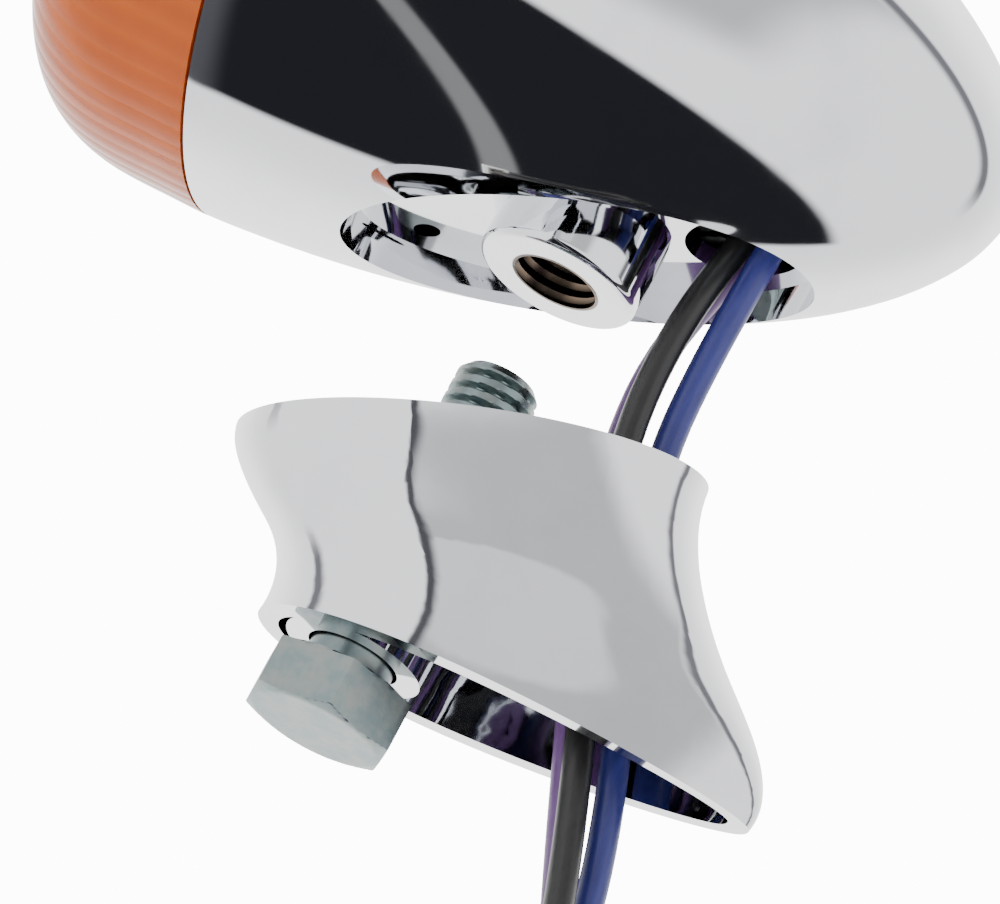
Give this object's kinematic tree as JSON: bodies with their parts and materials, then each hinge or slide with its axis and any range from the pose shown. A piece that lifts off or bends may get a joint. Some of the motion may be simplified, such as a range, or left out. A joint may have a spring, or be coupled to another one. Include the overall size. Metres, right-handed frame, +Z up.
{
  "type": "motorcycle turn signal indicator",
  "caption": "Bullet-shaped chrome turn signal with amber lens, loose hollow stand and hex bolt below its threaded boss, and coiled lead wires.",
  "frame": {"origin": "centre of the mouth of the threaded boss in the recess under the housing", "axes": "+Z up along the bolt axis into the housing, +X toward the closed nose, lens at -X, +Y completes a right-handed frame"},
  "size_m": [0.0957, 0.058, 0.1484],
  "materials": {
    "chrome_body": "mirror-bright chrome plating",
    "amber_lens": "clear amber, polished",
    "seal_rubber": "matte",
    "reflector_plate": "vacuum-metallised",
    "plated_steel": "bright nickel plate",
    "zinc_bolt": "clear zinc plate, slightly blue",
    "phenolic": "pressed fibre",
    "contact_brass": "satin",
    "bulb_cap": "satin",
    "bulb_glass": "clear",
    "filament_wire": "satin",
    "wire_black": "satin",
    "wire_violet": "satin",
    "wire_blue": "satin",
    "tie_nylon": "satin"
  },
  "bodies": {
    "housing_body": {"housing": "chrome_body", "lens_gasket": "seal_rubber", "reflector": "reflector_plate", "socket_shell": "plated_steel", "socket_end_disc": "phenolic", "terminal_running": "contact_brass", "terminal_turn": "contact_brass", "ground_terminal": "plated_steel", "wire_black": "wire_black", "wire_violet": "wire_violet", "wire_blue": "wire_blue", "coil_black": "wire_black", "coil_violet": "wire_violet", "coil_blue": "wire_blue", "coil_tie": "tie_nylon"},
    "lens_body": {"lens": "amber_lens"},
    "carrier_body": {"contact_carrier": "phenolic", "contact_button_running": "contact_brass", "contact_button_turn": "contact_brass", "contact_spring": "plated_steel"},
    "bulb_body": {"bulb_base": "bulb_cap", "bulb_insulator": "phenolic", "bulb_contact_running": "contact_brass", "bulb_contact_turn": "contact_brass", "bulb_glass": "bulb_glass", "bulb_stem": "bulb_glass", "filament_turn": "filament_wire", "filament_running": "filament_wire"},
    "stand_body": {"stand": "chrome_body"},
    "bolt_body": {"mounting_bolt": "zinc_bolt"}
  },
  "joints": [
    {"name": "lens_pull", "type": "slide", "parent": "housing_body", "child": "lens_body", "axis": [-1, 0, 0], "range_m": [0, 0.012]},
    {"name": "bulb_push", "type": "slide", "parent": "housing_body", "child": "carrier_body", "axis": [1, 0, 0], "range_m": [0, 0.002], "stiffness_N_per_m": 1500, "deforming": ["contact_spring"]},
    {"name": "bulb_twist", "type": "hinge", "parent": "carrier_body", "child": "bulb_body", "pos_m": [-0.004, 0, 0.0245], "axis": [1, 0, 0], "range_deg": [0, 15]},
    {"name": "stand_slide", "type": "slide", "parent": "housing_body", "child": "stand_body", "axis": [0, 0, 1], "range_m": [0, 0.02205]},
    {"name": "bolt_slide", "type": "slide", "parent": "stand_body", "child": "bolt_body", "axis": [0, 0, 1], "range_m": [0, 0.00215]}
  ]
}
